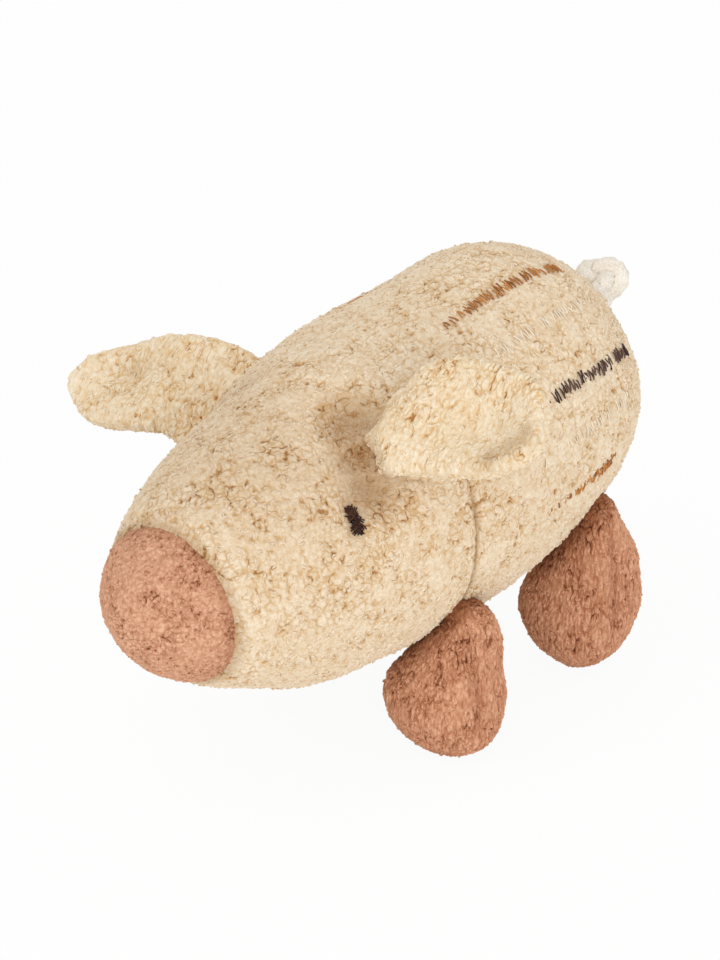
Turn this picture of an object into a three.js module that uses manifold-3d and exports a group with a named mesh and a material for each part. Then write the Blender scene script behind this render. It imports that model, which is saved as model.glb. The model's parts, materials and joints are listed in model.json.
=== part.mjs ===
// A small stuffed piglet. A snout cap, a head cover and a back cover of terry cloth are sewn end to end
// round one fibre filling. Two lop ears, four stuffed legs and a knotted tail hang from seams, and the
// eyes and the stripes are embroidered.
// Millimetres, +Z up. The snout points along -Y and the animal's left side is +X.
import * as THREE from "three";
import Module from "manifold-3d";
import { mergeVertices } from "three/addons/utils/BufferGeometryUtils.js";

const wasm = await Module();
wasm.setup();

// Body
const bodyLength = 196;
const girthRadius = 47.2;
const bellyHeight = 23; // ground to belly
const coverThickness = 3; // knitted backing and pile together
const sewnGap = 0.3; // between two pieces that are sewn face to face
const capDepth = 17; // snout tip to the cap's seam
const neckPlace = 95; // snout tip to the seam between head and back
const seamDip = 1.3; // how far a seam is drawn in
const seamReach = 3.5; // how far to each side it draws
const coverRoll = -6; // turn of ears, eyes, stripes and tail round the body against the legs, degrees

// Girth against a plain ellipsoid, evenly spaced by turn from the snout tip to the rump
const girthShares = [0.9, 0.86, 0.93, 0.985, 1.11, 1.28, 1.32];
const droopShares = [0.11, 0.12, 0.09, 0.01, -0.08, -0.14, -0.15]; // sinking of the middle, per girth radius

// Legs: a flat neck sewn to the body, swelling to a round foot
const legNeckWidth = 22;
const legWall = 2;
const legSlit = 0.8; // the turning slit between the neck's two layers
const footWidth = 34;
const footDepth = 34;
const soleDepth = 0.5; // how much of the round foot is pressed flat
const footSwellPower = 1.4; // how late the leg swells fore and aft
const legTwistShare = 0.7; // of the leg, over which its flat neck turns square to the toy
const legWallShares = [0.1, 0.5]; // of the leg, over which its wall turns square to its skin
const frontLegs = { pair: "front", backShare: 0, angle: 132, spread: 0, forward: 2 };
const rearLegs = { pair: "rear", backShare: 0.59, angle: 127, spread: -4, forward: 1 };

// Ears: a padded leaf of two layers, sewn on along a slanting root line
const earLength = 55;
const earWidth = 34;
const earRootWidth = 26;
const earThickness = 10;
const earEdgeThickness = 3;
const earRootThickness = 4.4;
const earWidestShare = 0.58; // of the ear's length
const earSwayShare = 0.5; // of the ear's length, over which it bends aside
const earHeadShare = 0.78; // place of the root, of the head's length
const earAngle = 42; // from the top of the back, degrees
const earSlant = 42; // how far the root line's lower end turns forward, degrees
const leftEar = { name: "left", side: 1, lean: 41, sway: -8, cup: 1.5 };
const rightEar = { name: "right", side: -1, lean: 46, sway: -51, cup: 5 };

// The hollow that each sewn-in ear pulls into the head, in front of its root
const hollowDepth = 3;
const hollowReach = 11;
const hollowForward = 12; // from the ear's root towards the snout

// Tail: a soft cord with one overhand knot
const tailCord = 3.3;
const knotSize = 16;
const knotGap = 0.8; // between strands of the knot that pass each other
const knotOpening = 0.34; // what the knot leaves open of its third lobe, as an angle
const tailRootLength = 1.5;
const tailStubLength = 5.6;
const stubBendShare = 0.5; // of the free end's length
const tailRise = 16; // above the body's middle

// Embroidery
const eyeHeight = 9.8;
const eyeWidth = 5;
const eyeHeadShare = 0.615; // of the head's length
const eyeAngle = 62; // from the top of the back, degrees
const eyeCoreShare = 0.5; // of the eye's size, where its underside starts
const eyeCrownShare = 0.6; // of the eye's size, where its rounded top ends
const stitchHeight = 0.8;
const stripeWidth = 4.6;
const stripeNames = ["caramel_upper", "cream_upper", "dark_middle", "cream_lower", "caramel_lower"];
const stripeColours = [0xb57b42, 0xf3e7d3, 0x4a2e26, 0xf3e7d3, 0xb57b42];
const stripeAngles = [21, 40, 63, 82, 102]; // from the top of the back, degrees
const stripeStartShares = [0.23, 0.29, 0.3, 0.28, 0.29]; // of the back's length
const stripeEndShares = [0.75, 0.77, 0.79, 0.71, 0.62];

// Counts
const bodySides = 30;
const capRows = 5;
const headRows = 13;
const backRows = 12;
const liningRows = { cap: 3, head: 6, back: 7 };
const legSides = 16;
const legRows = 7;
const emptyRows = 2; // rows of the neck that the fibre leaves empty
const earSteps = 7;
const earRows = 9;
const tailSteps = 54;
const tailSides = 8;
const gapSteps = 200;
const eyeSides = 14;
const stripeSteps = 10;

const { lerp, smoothstep, clamp, degToRad } = THREE.MathUtils;
const quarter = Math.PI / 2;
const upwards = new THREE.Vector3(0, 0, 1);
const sideways = new THREE.Vector3(1, 0, 0);
const rearwards = new THREE.Vector3(0, 1, 0);
const evenly = (steps, make) => Array.from({ length: steps + 1 }, (_, i) => make(i / steps));

// The body's outside

const spline = (values) => new THREE.SplineCurve(values.map((value, i) => new THREE.Vector2(i, value)));
const girthCurve = spline(girthShares);
const droopCurve = spline(droopShares);
const halfLength = bodyLength / 2;
const backLength = bodyLength - neckPlace;
const earPlace = earHeadShare * neckPlace;

// The turn of a half circle that reaches a place along the body, counted from the snout tip
const turnAt = (place) => Math.acos(clamp(1 - place / halfLength, -1, 1));
const placeAt = (turn) => (1 - Math.cos(turn)) * halfLength;

// A point of the plump outside, before seams draw it in. The angle runs from the top towards +X.
function plumpPoint(turn, angle) {
  const share = turn / Math.PI;
  const radius = Math.sin(turn) * girthRadius * girthCurve.getPoint(share).y;
  const droop = girthRadius * droopCurve.getPoint(share).y;
  return new THREE.Vector3(
    radius * Math.sin(angle),
    placeAt(turn) - halfLength,
    radius * Math.cos(angle) - droop,
  );
}

const nudge = 1e-3;
const atPole = (turn) => Math.sin(turn) < nudge;

function outward(turn, angle) {
  if (atPole(turn)) {
    return rearwards.clone().multiplyScalar(-Math.sign(Math.cos(turn)));
  }
  const round = plumpPoint(turn, angle + nudge).sub(plumpPoint(turn, angle - nudge));
  const along = plumpPoint(turn + nudge, angle).sub(plumpPoint(turn - nudge, angle));
  return round.cross(along).normalize();
}

function hollowAt(turn, angle) {
  const along = placeAt(turn) - (earPlace - hollowForward);
  const fromTop = angle - degToRad(coverRoll);
  const turned = Math.abs(Math.atan2(Math.sin(fromTop), Math.cos(fromTop)));
  const aside = (turned - degToRad(earAngle)) * girthRadius;
  return hollowDepth * Math.exp(-(along ** 2 + aside ** 2) / hollowReach ** 2);
}

function dipAt(turn) {
  const dip = (seam) => seamDip * Math.exp(-(((placeAt(turn) - seam) / seamReach) ** 2));
  return dip(capDepth) + dip(neckPlace);
}

// A point at a depth below the plump outside, hollows included
function pointAt(turn, angle, depth) {
  const sink = atPole(turn) ? depth : depth + hollowAt(turn, angle);
  return plumpPoint(turn, angle).addScaledVector(outward(turn, angle), -sink);
}

function bodyRing(turn, depthAt) {
  const ring = evenly(bodySides, (share) => pointAt(turn, share * 2 * Math.PI, depthAt(turn)));
  return ring.slice(0, atPole(turn) ? 1 : bodySides);
}

// Turns from one to another, closer together near both ends
const turnsBetween = (from, to, steps) =>
  evenly(steps, (share) => lerp(from, to, (1 - Math.cos(Math.PI * share)) / 2));

// Closed skins

// A closed skin through rings of points, facing out. A ring of one point is a tip. A skin that wraps
// joins its last ring to its first, and any other open end is closed over the middle of its ring.
function skin(rings, wraps = false) {
  const middle = (ring) => {
    const centre = ring.reduce((sum, point) => sum.add(point), new THREE.Vector3());
    return ring.length > 1 ? [[centre.divideScalar(ring.length)]] : [];
  };
  const rows = wraps ? rings : [...middle(rings[0]), ...rings, ...middle(rings.at(-1))];
  const starts = rows.map((_, i) => rows.slice(0, i).flat().length);
  const faces = [];
  for (let i = 0; i < (wraps ? rows.length : rows.length - 1); i++) {
    const next = (i + 1) % rows.length;
    const here = rows[i].length;
    const there = rows[next].length;
    for (let j = 0; j < Math.max(here, there); j++) {
      const a = starts[i] + (j % here);
      const b = starts[i] + ((j + 1) % here);
      const c = starts[next] + (j % there);
      const d = starts[next] + ((j + 1) % there);
      if (here > 1) {
        faces.push([a, b, c]);
      }
      if (there > 1) {
        faces.push([b, d, c]);
      }
    }
  }
  const points = rows.flat();
  const swept = ([a, b, c]) => points[a].dot(points[b].clone().cross(points[c]));
  const facesOut = faces.reduce((sum, face) => sum + swept(face), 0) > 0;
  const geometry = new THREE.BufferGeometry().setFromPoints(points);
  geometry.setIndex(faces.flatMap(([a, b, c]) => (facesOut ? [a, b, c] : [a, c, b])));
  geometry.computeVertexNormals();
  return geometry;
}

function solidOf(geometry) {
  const bare = new THREE.BufferGeometry().setAttribute("position", geometry.getAttribute("position"));
  bare.setIndex(geometry.getIndex());
  const merged = mergeVertices(bare);
  return new wasm.Manifold(
    new wasm.Mesh({
      numProp: 3,
      vertProperties: new Float32Array(merged.getAttribute("position").array),
      triVerts: new Uint32Array(merged.getIndex().array),
    }),
  );
}

function geometryOf(solid) {
  const mesh = solid.getMesh();
  const geometry = new THREE.BufferGeometry();
  geometry.setAttribute("position", new THREE.BufferAttribute(mesh.vertProperties, 3));
  geometry.setIndex(new THREE.BufferAttribute(mesh.triVerts, 1));
  geometry.computeVertexNormals();
  return geometry;
}

const cloth = (color) => new THREE.MeshStandardMaterial({ color, roughness: 0.95, metalness: 0 });
const thread = (color) => new THREE.MeshStandardMaterial({ color, roughness: 0.6, metalness: 0 });
const beigeTerry = cloth(0xe8d3ae);
const paleTerry = cloth(0xeedfb9);
const brownTerry = cloth(0xc58a68);
const cottonCord = cloth(0xf0ebe2);
const fibre = cloth(0xf7f6f2);
const eyeThread = thread(0x33211c);

const toy = new THREE.Group();

function addPiece(name, geometry, material) {
  const mesh = new THREE.Mesh(geometry, material);
  mesh.name = name;
  toy.add(mesh);
}

// The body's three covers and its filling

const halfGap = sewnGap / 2;
const spans = {
  cap: [0, turnAt(capDepth - halfGap)],
  head: [turnAt(capDepth + halfGap), turnAt(neckPlace - halfGap)],
  back: [turnAt(neckPlace + halfGap), Math.PI],
};
const ringsOf = (turns, depthAt) => turns.map((turn) => bodyRing(turn, depthAt));
const liningTurns = (part) => turnsBetween(...spans[part], liningRows[part]);

function bodyCover(part, rows) {
  const outside = ringsOf(turnsBetween(...spans[part], rows), dipAt);
  const inside = ringsOf(liningTurns(part), () => coverThickness).reverse();
  return skin(part === "back" ? [...inside, ...outside] : [...outside, ...inside], part === "head");
}

addPiece("snout_cap", bodyCover("cap", capRows), brownTerry);
addPiece("head_cover", bodyCover("head", headRows), beigeTerry);
addPiece("back_cover", bodyCover("back", backRows), beigeTerry);
const fillingTurns = ["cap", "head", "back"].flatMap(liningTurns);
addPiece("body_filling", skin(ringsOf(fillingTurns, () => coverThickness + sewnGap).reverse()), fibre);

// A seam line on the body's left that something hangs from: its middle, the way out of the body, and the
// way down along the line, whose lower end turns forward by the slant
function seamFrame(turn, angle, slant) {
  const out = outward(turn, angle);
  const down = plumpPoint(turn, angle + nudge).sub(plumpPoint(turn, angle - nudge)).normalize();
  const forward = down.clone().cross(out);
  const line = down.multiplyScalar(Math.cos(slant)).addScaledVector(forward, Math.sin(slant));
  return { seat: pointAt(turn, angle, dipAt(turn)), out, line };
}

// Rings made for the animal's left, as they are or mirrored to its right
const onSide = (side, rings) =>
  rings.map((ring) => ring.map((point) => new THREE.Vector3(point.x * side, point.y, point.z)));

// Where each limb swings: a point of its seam and the seam's direction. On the other side a direction is
// mirrored with its turn, so that the same turn moves both limbs alike.
toy.userData.seams = {};
function noteSeam(limb, hinge, line, side) {
  toy.userData.seams[limb] = {
    point: new THREE.Vector3(hinge.x * side, hinge.y, hinge.z),
    axis: new THREE.Vector3(line.x, line.y * side, line.z * side),
  };
}

// Legs

const ground = plumpPoint(quarter, Math.PI).z - bellyHeight;
const neckHalf = legWall + legSlit / 2;
const roundTurns = [quarter / 3, (2 * quarter) / 3];

function oval(centre, aside, halfWidth, halfDepth) {
  const ring = evenly(legSides, (share) => {
    const angle = share * 2 * Math.PI;
    return centre
      .clone()
      .addScaledVector(aside, halfWidth * Math.cos(angle))
      .addScaledVector(rearwards, halfDepth * Math.sin(angle));
  });
  return ring.slice(0, legSides);
}

// The rings of a leg's skin at an inset from its outside: the neck's rounded edge, and the leg below the
// line that it swings on. Reach runs from 0 at that line over 1 at the foot's middle to 2 at its tip.
function legShape(pair) {
  const turn = turnAt(neckPlace + pair.backShare * backLength);
  const { seat, out, line } = seamFrame(turn, degToRad(pair.angle), 0);
  const hinge = seat.clone().addScaledVector(out, neckHalf + sewnGap);
  const foot = hinge.clone().addScaledVector(sideways, pair.spread).addScaledVector(rearwards, -pair.forward);
  foot.z = ground - soleDepth + footDepth / 2;
  const aside = line.clone().negate();
  const brim = (angle, halfDepth, inset) =>
    oval(
      hinge.clone().addScaledVector(out, -neckHalf * Math.cos(angle)),
      aside,
      legNeckWidth / 2 - inset - neckHalf * (1 - Math.sin(angle)),
      halfDepth,
    );
  const row = (reach, inset) => {
    const share = clamp(reach, 0, 1);
    const swell = Math.sin(share * quarter);
    const heel = Math.max(reach - 1, 0) * quarter;
    return oval(
      hinge.clone().lerp(foot, share).addScaledVector(upwards, (-footDepth / 2) * Math.sin(heel)),
      aside.clone().lerp(sideways, smoothstep(share, 0, legTwistShare)).normalize(),
      (lerp(legNeckWidth, footWidth, swell) / 2 - inset) * Math.cos(heel),
      (lerp(2 * neckHalf, footDepth, swell ** footSwellPower) / 2 - inset) * Math.cos(heel),
    );
  };
  // below the neck the wall is as thick square to the skin, and beside the seam along it
  const lined = (reach, inset) => {
    const skinRow = row(reach, 0);
    const before = row(reach - nudge, 0);
    const after = row(reach + nudge, 0);
    const level = row(reach, inset);
    return skinRow.map((point, i) => {
      const round = skinRow[(i + 1) % legSides].clone().sub(skinRow.at(i - 1));
      const inwards = round.cross(after[i].clone().sub(before[i])).normalize();
      const square = point.clone().addScaledVector(inwards, inset);
      return level[i].lerp(square, smoothstep(reach, ...legWallShares));
    });
  };
  const below = (inset) => [
    ...evenly(legRows, (share) => lined(share, inset)),
    ...roundTurns.map((angle) => lined(1 + angle / quarter, inset)),
    [foot.clone().addScaledVector(upwards, inset - footDepth / 2)],
  ];
  return { brim, below, hinge, aside };
}

const underground = new THREE.BoxGeometry(2 * bodyLength, 2 * bodyLength, bodyLength);
underground.translate(0, 0, ground - bodyLength / 2);
const undergroundSolid = solidOf(underground);

for (const pair of [frontLegs, rearLegs]) {
  const { brim, below, hinge, aside } = legShape(pair);
  const collar = roundTurns.map((angle) => brim(angle, neckHalf * Math.sin(angle), 0));
  const mouth = brim(roundTurns[0], legSlit / 2, legWall);
  const cover = [...[mouth, ...below(legWall)].reverse(), ...collar, ...below(0)];
  const filling = below(legWall + sewnGap).slice(emptyRows).reverse();
  for (const [name, side] of [["left", 1], ["right", -1]]) {
    noteSeam(`leg_${pair.pair}_${name}`, hinge, aside, side);
    const sewn = solidOf(skin(onSide(side, cover))).subtract(undergroundSolid);
    addPiece(`leg_${pair.pair}_${name}_cover`, geometryOf(sewn), brownTerry);
    addPiece(`leg_${pair.pair}_${name}_filling`, skin(onSide(side, filling)), fibre);
  }
}

// Ears

const rootHalf = earRootThickness / 2;

// One ring across an ear's layer: its outside from edge to edge, and back along the middle of the leaf
function layerRing(centre, across, face, halfWidth, bulge, sag, layer) {
  const edgeRise = Math.min(earEdgeThickness / 2, bulge);
  const points = (height) =>
    evenly(earSteps, (share) => {
      const aside = Math.sin((share - 1 / 2) * Math.PI);
      const crown = Math.sqrt(1 - aside ** 2);
      const rise = layer * height(crown) - sag * crown ** 2;
      return centre.clone().addScaledVector(across, aside * halfWidth).addScaledVector(face, rise);
    });
  const outside = points((crown) => lerp(edgeRise, bulge, crown));
  const inside = points(() => halfGap).reverse();
  return [...outside, ...inside];
}

// The rings of one layer, from the root's rounded edge to the tip. The leaf leans back from the way out
// of the head, and its length sways to one side.
function earLayer(ear, { hinge, out, line }, layer) {
  const straight = out.clone().applyAxisAngle(line, -degToRad(ear.lean));
  const face = line.clone().cross(straight);
  const swayed = (share) => degToRad(ear.sway) * smoothstep(share, 0, earSwayShare);
  const rings = roundTurns.map((angle) =>
    layerRing(
      hinge.clone().addScaledVector(straight, -rootHalf * Math.cos(angle)),
      line,
      face,
      earRootWidth / 2 - rootHalf * (1 - Math.sin(angle)),
      rootHalf * Math.sin(angle),
      0,
      layer,
    ),
  );
  const centre = hinge.clone();
  let walked = 0;
  for (const share of turnsBetween(0, 1, earRows).slice(0, -1)) {
    const heading = straight.clone().applyAxisAngle(face, swayed((share + walked) / 2));
    centre.addScaledVector(heading, (share - walked) * earLength);
    walked = share;
    const past = Math.max(0, (share - earWidestShare) / (1 - earWidestShare));
    const before = smoothstep(share, 0, earWidestShare);
    const round = Math.sqrt(1 - past ** 2);
    rings.push(
      layerRing(
        centre,
        line.clone().applyAxisAngle(face, swayed(share)),
        face,
        (lerp(earRootWidth, earWidth, before) / 2) * round,
        lerp(rootHalf, earThickness / 2, before) * Math.sqrt(round),
        ear.cup * before * round,
        layer,
      ),
    );
  }
  return rings;
}

for (const ear of [leftEar, rightEar]) {
  const rolled = degToRad(earAngle + coverRoll * ear.side);
  const { seat, out, line } = seamFrame(turnAt(earPlace), rolled, degToRad(earSlant));
  const hinge = seat.clone().addScaledVector(out, rootHalf + sewnGap);
  noteSeam(`ear_${ear.name}`, hinge, line, ear.side);
  for (const [layerName, layer] of [["front", 1], ["back", -1]]) {
    const rings = earLayer(ear, { hinge, out, line }, layer);
    addPiece(`ear_${ear.name}_${layerName}`, skin(onSide(ear.side, rings)), paleTerry);
  }
}

// Tail: a trefoil left open at one lobe. One end runs into the body and the other sticks out.

const tailHalf = tailCord / 2;
const knotOuter = knotSize / 2 - tailHalf;
const knotInner = (tailCord + knotGap) / Math.sqrt(3);
const tailTurn = Math.PI - Math.asin(clamp(tailRise / (girthRadius * girthShares.at(-1)), 0, 1));
const tailSeam = seamFrame(tailTurn, degToRad(coverRoll), 0);

// Three inner strands pass round the knot's middle at its inner radius, and strands cross half a gap
// above and below its plane
function trefoil(angle) {
  const reach = lerp(knotInner, knotOuter, (1 + Math.cos(3 * angle)) / 2);
  const rise = (Math.sin(3 * angle) * (tailCord + knotGap)) / 2;
  return new THREE.Vector3(reach * Math.cos(2 * angle), reach * Math.sin(2 * angle), rise);
}

function tailRoute() {
  const knot = evenly(tailSteps / 2, (share) => trefoil(lerp(knotOpening, 2 * Math.PI - knotOpening, share)));
  const entry = new THREE.Vector3(knotSize / 2 + tailRootLength, knot.at(-1).y / 2, 0);
  const bend = tailStubLength * stubBendShare;
  const stub = knot[0].clone().add(new THREE.Vector3(bend, bend, 0));
  const stubEnd = knot[0].clone().add(new THREE.Vector3(bend, tailStubLength, 0));
  return new THREE.CatmullRomCurve3([stubEnd, stub, ...knot, entry]);
}

// The least free space between two stretches of the cord that are more than two cords apart along it
function leastGap(route) {
  const length = route.getLength();
  const apart = Math.ceil((gapSteps * 2 * tailCord) / length);
  const points = evenly(gapSteps, (share) => route.getPointAt(share));
  const beyond = (i) => points.slice(i + apart).map((other) => points[i].distanceTo(other));
  return Math.min(...points.flatMap((_, i) => beyond(i))) - tailCord;
}

function tailSkin(hinge) {
  const route = tailRoute();
  console.log(`tail_knot: least gap to itself ${leastGap(route).toFixed(2)} mm`);
  const frames = route.computeFrenetFrames(tailSteps);
  const ring = (centre, i, radius) =>
    evenly(tailSides, (share) => {
      const angle = share * 2 * Math.PI;
      return centre
        .clone()
        .addScaledVector(frames.normals[i], radius * Math.cos(angle))
        .addScaledVector(frames.binormals[i], radius * Math.sin(angle));
    }).slice(0, tailSides);
  const domed = (i, way) =>
    roundTurns.map((angle) => {
      const beyond = route.getPointAt(i / tailSteps);
      beyond.addScaledVector(frames.tangents[i], way * tailHalf * Math.cos(angle));
      return ring(beyond, i, tailHalf * Math.sin(angle));
    });
  const rings = evenly(tailSteps, (share) =>
    ring(route.getPointAt(share), Math.round(share * tailSteps), tailHalf),
  );
  const geometry = skin([...domed(0, -1), ...rings, ...domed(tailSteps, 1).reverse()]);
  const entry = route.getPointAt(1);
  const inwards = tailSeam.out.clone().negate();
  const basis = new THREE.Matrix4().makeBasis(inwards, sideways, inwards.clone().cross(sideways));
  geometry.translate(-entry.x, -entry.y, -entry.z).applyMatrix4(basis);
  return geometry.translate(hinge.x, hinge.y, hinge.z);
}

const tailHinge = tailSeam.seat.clone().addScaledVector(tailSeam.out, tailHalf + sewnGap);
noteSeam("tail", tailHinge, sideways, 1);
addPiece("tail_knot", tailSkin(tailHinge), cottonCord);

// Embroidery lies on the covers as thin pads of thread

const onCover = (place, angle, lift) => pointAt(turnAt(place), angle, -sewnGap - lift);

function eyePad(side) {
  const middlePlace = eyeHeadShare * neckPlace;
  const ring = (share, lift) =>
    evenly(eyeSides, (turned) => {
      const angle = turned * 2 * Math.PI;
      const aside = (share * (eyeHeight / 2) * Math.sin(angle)) / girthRadius;
      const place = middlePlace + share * (eyeWidth / 2) * Math.cos(angle);
      return onCover(place, (degToRad(eyeAngle) + aside) * side + degToRad(coverRoll), lift);
    }).slice(0, eyeSides);
  const crown = ring(eyeCrownShare, stitchHeight);
  return skin([ring(eyeCoreShare, 0), ring(1, 0), ring(1, stitchHeight / 2), crown]);
}

function stripePad(i, side) {
  const halfTurn = stripeWidth / 2 / girthRadius;
  const angle = degToRad(stripeAngles[i]);
  const across = [-1, 0, 1];
  const rings = evenly(stripeSteps, (share) => {
    const place = neckPlace + lerp(stripeStartShares[i], stripeEndShares[i], share) * backLength;
    const row = (lift) =>
      across.map((aside) => onCover(place, (angle + aside * halfTurn) * side + degToRad(coverRoll), lift));
    return [...row(0), ...row(stitchHeight).reverse()];
  });
  return skin(rings);
}

for (const [name, side] of [["left", 1], ["right", -1]]) {
  addPiece(`eye_${name}`, eyePad(side), eyeThread);
  stripeNames.forEach((stripe, i) => {
    addPiece(`stripe_${name}_${stripe}`, stripePad(i, side), thread(stripeColours[i]));
  });
}

// The origin is under the middle of the toy's box, on the ground
const box = new THREE.Box3().setFromObject(toy);
toy.position.set(-(box.min.x + box.max.x) / 2, -(box.min.y + box.max.y) / 2, -box.min.z);

export default toy;
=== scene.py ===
# %% [markdown]
# # A stuffed piglet of looped terry
#
# The real toy is about 20 cm long: a plump body sewn from three covers, four stuffed legs, two lop ears,
# embroidered eyes and stripes, and a tail of knotted cord. This lesson dresses its plain solids, piece by
# piece: camera and light, cloth skins puffed up by a simulation, the looped pile that grows on them,
# the threads, the cord, and the fibre inside.

# %% Frame, units and the toy's box
import json
import math

import bmesh
import bpy
import numpy as np
from mathutils import Matrix, Vector
from mathutils.bvhtree import BVHTree

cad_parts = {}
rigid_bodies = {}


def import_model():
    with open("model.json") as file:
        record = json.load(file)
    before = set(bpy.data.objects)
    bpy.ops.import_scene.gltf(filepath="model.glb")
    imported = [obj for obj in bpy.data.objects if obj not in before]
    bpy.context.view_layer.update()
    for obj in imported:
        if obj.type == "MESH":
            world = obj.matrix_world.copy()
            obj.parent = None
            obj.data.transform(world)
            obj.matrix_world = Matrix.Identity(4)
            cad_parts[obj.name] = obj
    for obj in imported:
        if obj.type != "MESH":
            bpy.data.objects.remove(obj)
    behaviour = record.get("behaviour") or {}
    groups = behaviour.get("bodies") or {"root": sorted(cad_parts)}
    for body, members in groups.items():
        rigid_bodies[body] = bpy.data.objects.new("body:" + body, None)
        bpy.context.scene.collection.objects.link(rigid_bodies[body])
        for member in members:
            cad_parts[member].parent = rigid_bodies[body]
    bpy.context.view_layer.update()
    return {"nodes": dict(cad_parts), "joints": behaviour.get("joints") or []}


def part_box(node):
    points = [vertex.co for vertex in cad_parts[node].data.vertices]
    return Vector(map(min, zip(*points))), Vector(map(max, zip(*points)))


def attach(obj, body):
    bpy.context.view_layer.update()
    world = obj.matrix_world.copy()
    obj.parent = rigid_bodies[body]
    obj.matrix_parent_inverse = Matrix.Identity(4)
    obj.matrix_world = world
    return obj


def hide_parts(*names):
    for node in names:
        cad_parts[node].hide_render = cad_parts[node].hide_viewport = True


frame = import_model()
mm = 0.001
scene = bpy.context.scene
sides = ("left", "right")
ends = ("front", "rear")
body_low, body_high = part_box("body_filling")
body_middle = (body_low + body_high) / 2
print("body's middle, mm:", [round(x / mm, 1) for x in body_middle])

# %% [markdown]
# ## Camera
#
# The photograph looks down on the toy from the front left, through a long lens. Its viewing angle, its
# distance and its scale are named here. The lens follows from them, because the picture is 960 pixels
# high and the sensor's width is laid along that longer side. A small shift puts the body's middle on the
# pixel where the photograph has it.

# %% Camera
view_azimuth = math.radians(42)
view_elevation = math.radians(30)
view_distance = 1350 * mm
pixels_per_mm = 3.54  # at the body's middle
picture_width, picture_height = 720, 960  # pixels
body_pixel = (364, 479)
sensor_width = 36  # mm, along the picture's height

camera_data = bpy.data.cameras.new("Camera")
camera_data.sensor_width = sensor_width
camera_data.lens = pixels_per_mm * (view_distance / mm) * sensor_width / picture_height
camera_data.shift_x = (picture_width / 2 - body_pixel[0]) / picture_height
camera_data.shift_y = (body_pixel[1] - picture_height / 2) / picture_height
camera = bpy.data.objects.new("Camera", camera_data)
scene.collection.objects.link(camera)
scene.camera = camera


def direction(azimuth, elevation):
    """Points from the toy towards a place round it."""
    flat = math.cos(elevation)
    return Vector((math.sin(azimuth) * flat, -math.cos(azimuth) * flat, math.sin(elevation)))


away = direction(view_azimuth, view_elevation)
camera.location = body_middle + away * view_distance
camera.rotation_euler = (-away).to_track_quat("-Z", "Y").to_euler()
print("lens, mm:", round(camera_data.lens, 1))

# %% [markdown]
# ## Node trees as sums
#
# Materials and Geometry Nodes are both node trees. A wire is a node's output that takes part in a sum, so
# that `1 - mask` adds one Math node. Every other node comes from a tree's `add`, which sets the node's
# settings first and then the values or links of its sockets.

# %% Wires
class Wire:
    """A node's output that can stand in a sum."""

    def __init__(self, tree, socket):
        self.tree = tree
        self.socket = socket

    def sum(self, operation, first, second):
        terms = (first, second)
        if not any(isinstance(t, Wire) and t.socket.type in ("VECTOR", "RGBA") for t in terms):
            return self.tree.add("ShaderNodeMath", {"operation": operation}, {0: first, 1: second})
        terms = [(t, t, t) if isinstance(t, (int, float)) else t for t in terms]
        return self.tree.add("ShaderNodeVectorMath", {"operation": operation}, {0: terms[0], 1: terms[1]})

    def __add__(self, other):
        return self.sum("ADD", self, other)

    def __radd__(self, other):
        return self.sum("ADD", other, self)

    def __sub__(self, other):
        return self.sum("SUBTRACT", self, other)

    def __rsub__(self, other):
        return self.sum("SUBTRACT", other, self)

    def __mul__(self, other):
        return self.sum("MULTIPLY", self, other)

    def __rmul__(self, other):
        return self.sum("MULTIPLY", other, self)

    def __truediv__(self, other):
        return self.sum("DIVIDE", self, other)

    def __rtruediv__(self, other):
        return self.sum("DIVIDE", other, self)


# %% Trees
class Tree:
    """A node tree that is filled node by node."""

    def __init__(self, data):
        self.data = data

    def add(self, kind, settings=None, values=None, out=0):
        """A new node: its settings, then its sockets' values or links. Gives the named outputs."""
        node = self.data.nodes.new(kind)
        for name, value in (settings or {}).items():
            if name == "stops":
                self.set_stops(node.color_ramp, value)
            else:
                setattr(node, name, value)
        for name, value in (values or {}).items():
            for one in value if isinstance(value, list) else [value]:
                if isinstance(one, Wire):
                    self.data.links.new(one.socket, node.inputs[name])
                else:
                    node.inputs[name].default_value = one
        if not len(node.outputs):
            return None
        if isinstance(out, tuple):
            return [Wire(self, node.outputs[name]) for name in out]
        return Wire(self, node.outputs[out])

    def set_stops(self, ramp, stops):
        while len(ramp.elements) < len(stops):
            ramp.elements.new(1)
        for element, (place, colour) in zip(ramp.elements, stops):
            element.position = place
            element.color = (*colour, 1)


# %% Noise, slopes and cells
def noise(tree, place, size, detail=2, roughness=0.5, out=0):
    """Smooth noise from 0 to 1 in blobs of about the given size."""
    values = {"Vector": place, "Scale": 1 / size, "Detail": detail, "Roughness": roughness}
    return tree.add("ShaderNodeTexNoise", None, values, out)


def ease(tree, value, low, high):
    """A smooth rise from 0 to 1 while the value goes from low to high."""
    return tree.add("ShaderNodeMapRange", {"interpolation_type": "SMOOTHSTEP"}, {0: value, 1: low, 2: high})


def bent(tree, place, size, reach):
    """A place moved by noise, so that cells lose their straight edges."""
    return place + (noise(tree, place, size, detail=1, out=1) - (0.5, 0.5, 0.5)) * reach


def cells(tree, place, size, feature="F1"):
    """How far a place is from the middle of its cell, or from the cell's edge, in cell sizes."""
    return tree.add("ShaderNodeTexVoronoi", {"feature": feature}, {"Vector": place, "Scale": 1 / size})


# %% Other sums, and colours
def calc(tree, operation, *terms):
    """Any other sum of numbers, such as the larger of two."""
    return tree.add("ShaderNodeMath", {"operation": operation}, dict(enumerate(terms)))


def ramp(tree, level, *stops):
    """A colour for every level. A stop is a level and its colour."""
    return tree.add("ShaderNodeValToRGB", {"stops": stops}, {"Fac": level})


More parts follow.
